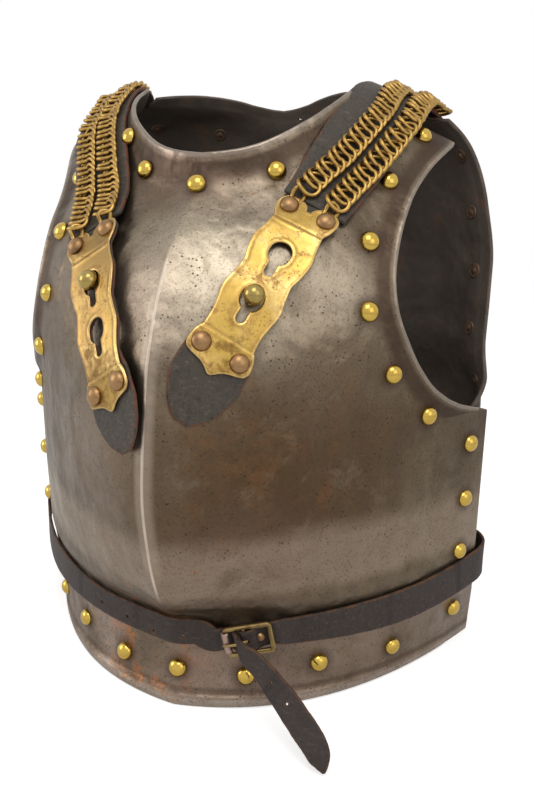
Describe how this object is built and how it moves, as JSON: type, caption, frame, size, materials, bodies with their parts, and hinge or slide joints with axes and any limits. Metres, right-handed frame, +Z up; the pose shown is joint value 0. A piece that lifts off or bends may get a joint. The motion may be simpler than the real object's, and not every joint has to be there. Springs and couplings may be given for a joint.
{
  "type": "cuirass",
  "caption": "Steel breastplate and backplate joined by leather shoulder straps with brass chains and keyhole plates on ball studs, and by a buckled leather waist belt.",
  "frame": {"origin": "middle of the part's box, on the plane that it stands on", "axes": "+Z up, -Y is the front (the breast), +X is the wearer's left"},
  "size_m": [0.394, 0.3094, 0.4355],
  "materials": {
    "polished_steel": "old polished steel, pitted and stained with rust",
    "dark_steel": "dark, rough steel with rust",
    "rivet_brass": "bright polished brass",
    "plate_brass": "worn gilt brass with brown stains",
    "rivet_copper": "brown, worn brass",
    "stud_brass": "olive, polished brass",
    "chain_brass": "patinated brass wire",
    "buckle_brass": "dull, worn brass",
    "roller_copper": "dull copper-coloured sheet",
    "strap_leather": "dark grained leather with red-brown edges",
    "belt_leather": "dark brown belt leather with worn edges"
  },
  "bodies": {
    "cuirass": {"anchor_rivet_left": "rivet_copper", "anchor_rivet_right": "rivet_copper", "backplate": "dark_steel", "belt_fold_rivet": "rivet_copper", "belt_left": "belt_leather", "belt_right": "belt_leather", "belt_rivet_left": "rivet_copper", "belt_rivet_right": "rivet_copper", "breastplate": "polished_steel", "chain_left_inner": "chain_brass", "chain_left_outer": "chain_brass", "chain_right_inner": "chain_brass", "chain_right_outer": "chain_brass", "rivet_arm_1_left": "rivet_brass", "rivet_arm_1_right": "rivet_brass", "rivet_arm_2_left": "rivet_brass", "rivet_arm_2_right": "rivet_brass", "rivet_arm_3_left": "rivet_brass", "rivet_arm_3_right": "rivet_brass", "rivet_arm_4_left": "rivet_brass", "rivet_arm_4_right": "rivet_brass", "rivet_arm_5_left": "rivet_brass", "rivet_arm_5_right": "rivet_brass", "rivet_arm_6_left": "rivet_brass", "rivet_arm_6_right": "rivet_brass", "rivet_arm_7_left": "rivet_brass", "rivet_foot_centre": "rivet_brass", "rivet_foot_corner_left": "rivet_brass", "rivet_foot_inner_left": "rivet_brass", "rivet_foot_inner_right": "rivet_brass", "rivet_foot_middle_left": "rivet_brass", "rivet_foot_middle_right": "rivet_brass", "rivet_foot_outer_left": "rivet_brass", "rivet_foot_outer_right": "rivet_brass", "rivet_neck_centre": "rivet_brass", "rivet_neck_inner_left": "rivet_brass", "rivet_neck_inner_right": "rivet_brass", "rivet_neck_outer_right": "rivet_brass", "rivet_side_lower_left": "rivet_brass", "rivet_side_upper_left": "rivet_brass", "shoulder_strap_left": "strap_leather", "shoulder_strap_right": "strap_leather", "stud_left": "stud_brass", "stud_right": "stud_brass"},
    "left_plate": {"keyhole_plate_left": "plate_brass", "plate_lining_left": "strap_leather", "plate_rivet_left_upper_inner": "rivet_copper", "plate_rivet_left_upper_outer": "rivet_copper", "plate_rivet_left_lower_inner": "rivet_copper", "plate_rivet_left_lower_outer": "rivet_copper"},
    "right_plate": {"keyhole_plate_right": "plate_brass", "plate_lining_right": "strap_leather", "plate_rivet_right_upper_inner": "rivet_copper", "plate_rivet_right_upper_outer": "rivet_copper", "plate_rivet_right_lower_inner": "rivet_copper", "plate_rivet_right_lower_outer": "rivet_copper"},
    "buckle": {"buckle_frame": "buckle_brass"},
    "roller": {"buckle_roller": "roller_copper"},
    "prong": {"buckle_prong": "buckle_brass"},
    "tongue": {"belt_tongue": "belt_leather"}
  },
  "joints": [
    {"name": "left_plate_lift", "type": "hinge", "parent": "cuirass", "child": "left_plate", "pos_m": [0.07634, -0.05517, 0.34221], "axis": [-0.9205, 0.0121, 0.3905], "range_deg": [0, 60]},
    {"name": "right_plate_lift", "type": "hinge", "parent": "cuirass", "child": "right_plate", "pos_m": [-0.06766, -0.08087, 0.32498], "axis": [-0.8913, 0.0325, -0.4523], "range_deg": [0, 60]},
    {"name": "buckle_tilt", "type": "hinge", "parent": "cuirass", "child": "buckle", "pos_m": [0.04904, -0.0975, 0.05426], "axis": [0.1664, 0.1432, -0.9756], "range_deg": [0, 5]},
    {"name": "prong_lift", "type": "hinge", "parent": "buckle", "child": "prong", "pos_m": [0.04904, -0.0975, 0.05426], "axis": [-0.1664, -0.1432, 0.9756], "range_deg": [0, 12]},
    {"name": "roller_spin", "type": "hinge", "parent": "buckle", "child": "roller", "pos_m": [0.03698, -0.10094, 0.0517], "axis": [-0.1664, -0.1432, 0.9756], "continuous": true},
    {"name": "tongue_swing", "type": "hinge", "parent": "cuirass", "child": "tongue", "pos_m": [0.04701, -0.10522, 0.05268], "axis": [0, 0, -1], "range_deg": [0, 40]}
  ]
}
